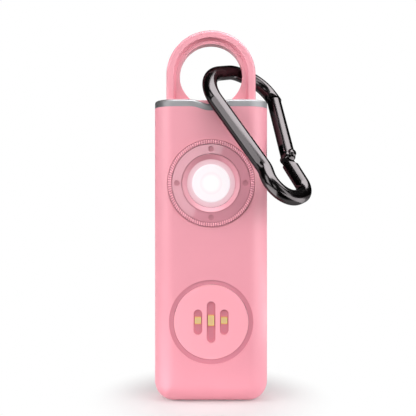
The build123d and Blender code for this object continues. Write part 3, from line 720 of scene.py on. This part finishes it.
def make_ribs():
    material = gloss_plastic("rim_rib_plastic", LIT_RIB_PINK, coat=0.0)
    values = {
        "Count": RIB_COUNT,
        "Circle Radius": (RIM_OUTER_MM - RIM_WIDTH_MM / 2) * MM,
        "Rib Size": RIB_SIZE_MM * MM,
        "Fan": math.radians(RIB_FAN_DEGREES),
    }
    front = Vector((TORCH_CENTRE.x, BEZEL_LOW.y, TORCH_CENTRE.z))
    ribs = grow("torch_rim_ribs", rib_tree(material), values, front)
    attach(ribs, "root")
    return ribs


print(len(make_ribs().data.polygons), "faces in the rim's ribs")

# %% [markdown]
# Behind the sound slots in the back is a wire screen that keeps dust off the siren. As
# a solid it is only a disc. Here it is two layers of straight round wires that cross
# every half a millimetre. Each wire is a cylinder as long as the circle is wide at its
# place, so the screen ends in a round edge without any cutting. The two layers share
# the disc's thickness, so a wire's radius is a quarter of it.

# %% The tree of wires
WIRE_SIDES = 8


def wire_layer(start, radius, pitch, wire, depth, upright):
    """A row of parallel wires that fill a circle, at one depth."""
    count = radius * 2 / pitch
    points = start.node("GeometryNodePoints", sockets={"Count": count})
    across = (start.node("GeometryNodeInputIndex") + 0.5) * pitch - radius
    room = (radius * radius - across * across).maths("MAXIMUM", 0.0)
    sockets = {("X" if upright else "Z"): across, "Y": depth}
    place = start.node("ShaderNodeCombineXYZ", sockets=sockets)
    points = put(start, points, place)
    sockets = {"Vertices": WIRE_SIDES, "Radius": 1.0, "Depth": 2.0}
    rod = start.node("GeometryNodeMeshCylinder", sockets=sockets)
    sockets = {"X": wire, "Y": wire, "Z": room ** 0.5}
    size = start.node("ShaderNodeCombineXYZ", sockets=sockets)
    turn = (0, 0 if upright else QUARTER_TURN, 0)
    sockets = {"Points": points, "Instance": rod, "Rotation": turn, "Scale": size}
    return start.node("GeometryNodeInstanceOnPoints", sockets=sockets)


def screen_tree(material):
    tree = bpy.data.node_groups.new("sound_screen", "GeometryNodeTree")
    start = Wire(tree)
    names = {
        "Radius": ("NodeSocketFloat", 0.008),
        "Pitch": ("NodeSocketFloat", 0.0005),
        "Wire Radius": ("NodeSocketFloat", 0.00005),
    }
    radius, pitch, wire = group_inputs(tree, names)
    upright = wire_layer(start, radius, pitch, wire, wire, True)
    level = wire_layer(start, radius, pitch, wire, 0 - wire, False)
    both = start.node("GeometryNodeJoinGeometry", sockets={"Geometry": upright})
    tree.links.new(level.socket, both.socket.node.inputs["Geometry"])
    end_tree(start, both, material)
    return tree


# %% The sound screen
SCREEN_PITCH_MM = 0.5
SCREEN_STEEL = paint(150, 150, 154)


def make_screen():
    low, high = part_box("sound_mesh")
    values = {
        "Radius": (high.x - low.x) / 2,
        "Pitch": SCREEN_PITCH_MM * MM,
        "Wire Radius": (high.y - low.y) / 4,
    }
    material = plated("screen_wire", SCREEN_STEEL, roughness=0.35)
    screen = grow("sound_screen", screen_tree(material), values, (low + high) / 2)
    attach(screen, "root")
    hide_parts("sound_mesh")
    return screen


print(len(make_screen().data.polygons), "faces in the sound screen")

# %% [markdown]
# The studio is a white table that runs back into white. The table and the world look
# white to the camera, and to anything that mirrors them, by their own colour and not
# by more light on the object, so the pink stays pink. In front of the alarm, both are
# dark to what mirrors them: that gives the black chrome its black. So a mirror finds
# the world's white only straight back, which the Y part of its direction tells.

# %% The world
WHITE = (1, 1, 1, 1)
ROOM_LIGHT, ROOM_IN_MIRRORS = 0.17, 0.03
STRAIGHT_BACK = (0.86, 0.97)


def ray(start, kind):
    return start.node("ShaderNodeLightPath", output="Is " + kind + " Ray")


def sees_background(start, behind):
    """1 for the camera, and for mirrored and bent rays where the background stands."""
    bounced = ray(start, "Glossy").maths("MAXIMUM", ray(start, "Transmission"))
    return ray(start, "Camera").maths("MAXIMUM", bounced * behind)


def make_world():
    world = bpy.data.worlds.new("studio")
    world.use_nodes = True
    world.node_tree.nodes.clear()
    start = Wire(world.node_tree)
    _, depth, _ = apart(start, start.node("ShaderNodeTexCoord", output="Generated"))
    background = sees_background(start, step(start, depth, *STRAIGHT_BACK))
    room = ROOM_LIGHT - ray(start, "Glossy") * (ROOM_LIGHT - ROOM_IN_MIRRORS)
    sockets = {"Color": WHITE, "Strength": room.maths("MAXIMUM", background)}
    lit = start.node("ShaderNodeBackground", sockets=sockets)
    start.node("ShaderNodeOutputWorld", sockets={"Surface": lit})
    SCENE.world = world
    return world


print(len(make_world().node_tree.nodes), "nodes in the world")

# %% [markdown]
# Close to the alarm the table is plain and lit, so that it keeps the alarm's shadow.
# Further out it fades into the white. What mirrors the table finds it white behind
# the alarm, as the camera does, and dark in front of it.

# %% The table
TABLE_HALF_M = 4.0
TABLE_GREY = (0.7, 0.7, 0.7, 1)
LIT_TO_MM, WHITE_FROM_MM = 15, 34
DARK_TO_MM, BACKGROUND_FROM_MM = -60, -25
LIT_TABLE_GLOW = 0.1


def glow(start, share):
    """A share of plain white light, which a Mix Shader weighs against nothing."""
    white = start.node("ShaderNodeEmission", sockets={"Color": WHITE, "Strength": 1.0})
    return start.node("ShaderNodeMixShader", sockets={0: share, 2: white})


def table_material():
    material, start = empty_material("table_white")
    place = object_place(start, scale=(1, 1, 0))
    near = step(start, length(start, place), LIT_TO_MM, WHITE_FROM_MM, 1.0, 0.0)
    depth = apart(start, place)[1]
    behind = step(start, depth, DARK_TO_MM, BACKGROUND_FROM_MM)
    seen = sees_background(start, behind)
    lit = start.node("ShaderNodeBsdfDiffuse", sockets={"Color": TABLE_GREY})
    sockets = {0: lit, 1: glow(start, seen * LIT_TABLE_GLOW)}
    shadowed = start.node("ShaderNodeAddShader", sockets=sockets)
    sockets = {0: near, 1: glow(start, seen), 2: shadowed}
    white = start.node("ShaderNodeMixShader", sockets=sockets)
    dark = ray(start, "Glossy") * (1 - behind)
    shader = start.node("ShaderNodeMixShader", sockets={0: dark, 1: white})
    finish_material(start, shader)
    return material


def make_table():
    half = TABLE_HALF_M
    mesh = bpy.data.meshes.new("table")
    corners = [(-half, -half, 0), (half, -half, 0), (half, half, 0), (-half, half, 0)]
    mesh.from_pydata(corners, [], [(0, 1, 2, 3)])
    mesh.materials.append(table_material())
    table = bpy.data.objects.new("table", mesh)
    SCENE.collection.objects.link(table)
    return table


print(len(make_table().data.polygons), "face in the table")

# %% [markdown]
# Matt plastic and black chrome want different lights, so each lamp serves one of them.
# For the gloss, a wide softbox hangs overhead, a little to the front and the right: it
# is the light band along the carabiner's rods. Two tall strips stand half-way round to
# each side of the camera and draw the light line down each side of the casing. The
# matt pink has broad fill from the front, the sides, the top and the back, which the
# chrome does not mirror, so that its black stays black.

# %% The lamps
LOOK_AT = Vector((0, 0, 45)) * MM
LIGHTS = {
    # name: azimuth from the front, elevation, distance, width, height, level, seen by
    "strip_left": (-45, 4, 600, 240, 700, 4.2, "gloss"),
    "strip_right": (50, 6, 600, 200, 640, 4.0, "gloss"),
    "overhead": (40, 66, 600, 900, 420, 10.0, "gloss"),
    "fill_left": (-50, 15, 600, 260, 380, 2.7, "matt"),
    "fill_right": (50, 15, 600, 260, 380, 2.6, "matt"),
    "side_left": (-74, 15, 600, 420, 380, 5.5, "matt"),
    "side_right": (74, 15, 600, 420, 380, 4.3, "matt"),
    "top_fill": (10, 63, 600, 760, 480, 0.85, "matt"),
    "front_fill": (12, 16, 700, 1300, 440, 1.14, "matt"),
    "back_fill": (180, 22, 700, 800, 500, 1.8, "matt"),
}


def lamp(name, place, width_mm, height_mm, level, aim, roll=0.0):
    """A rectangular lamp, turned towards a point.

    Its power follows its area, so `level` says how bright its face is at any size.
    """
    data = bpy.data.lights.new(name, "AREA")
    data.shape = "RECTANGLE"
    data.size, data.size_y = width_mm * MM, height_mm * MM
    data.energy = level * data.size * data.size_y * math.pi
    made = bpy.data.objects.new(name, data)
    made.location = place
    turn = (aim - place).to_track_quat("-Z", "Y").to_matrix().to_4x4()
    turn = turn @ Matrix.Rotation(math.radians(roll), 4, "Z")
    made.rotation_euler = turn.to_euler()
    made.visible_camera = False
    SCENE.collection.objects.link(made)
    return made


for name, (azimuth, elevation, distance, *size, level, seen_by) in LIGHTS.items():
    round_turn, tilt = math.radians(azimuth), math.radians(elevation)
    towards = Vector((math.sin(round_turn), -math.cos(round_turn), math.tan(tilt)))
    place = LOOK_AT + towards.normalized() * distance * MM
    made = lamp(name, place, *size, level, LOOK_AT)
    made.visible_glossy = seen_by == "gloss"
    made.visible_diffuse = seen_by == "matt"
print(len(LIGHTS), "lamps round the alarm")

# %% [markdown]
# Two panels lie low at the sides, which is where the round of the hook looks. A small
# slanted card is what the torch's flat ring mirrors in its upper left half. The card's
# place is counted from the middle of its inner edge, because that edge is where the
# ring's light half ends. All three are there for the gloss alone.

# %% The low panels and the card
PANEL_HEIGHT_MM = 2
LOW_PANELS = {
    # name: x, y, size, level; flat above the table, facing up
    "low_right": (290, -130, 420, 5.0),
    "low_left": (-78, -72, 130, 4.4),
}
for name, (across, depth, size, level) in LOW_PANELS.items():
    place = Vector((across, depth, PANEL_HEIGHT_MM)) * MM
    made = lamp(name, place, size, size, level, place + Vector((0, 0, 1)))
    made.visible_diffuse = False

CARD_EDGE_MIDDLE = Vector((-0.8, -600, 83.5)) * MM
CARD_SLANT_DEGREES = 24
CARD_WIDTH_MM, CARD_HEIGHT_MM = 90, 200
CARD_LEVEL = 3.2
slant = math.radians(CARD_SLANT_DEGREES)
outwards = Vector((-math.cos(slant), 0, math.sin(slant)))
place = CARD_EDGE_MIDDLE + outwards * CARD_WIDTH_MM / 2 * MM
aim = place + Vector((0, 1, 0))
size = (CARD_WIDTH_MM, CARD_HEIGHT_MM)
card = lamp("card", place, *size, CARD_LEVEL, aim, -CARD_SLANT_DEGREES)
card.visible_diffuse = False
print(len(LOW_PANELS), "low panels and a card")

# %% [markdown]
# The Standard view shows a colour about as it is written.

# %% The view and the end
SCENE.view_settings.view_transform = "Standard"
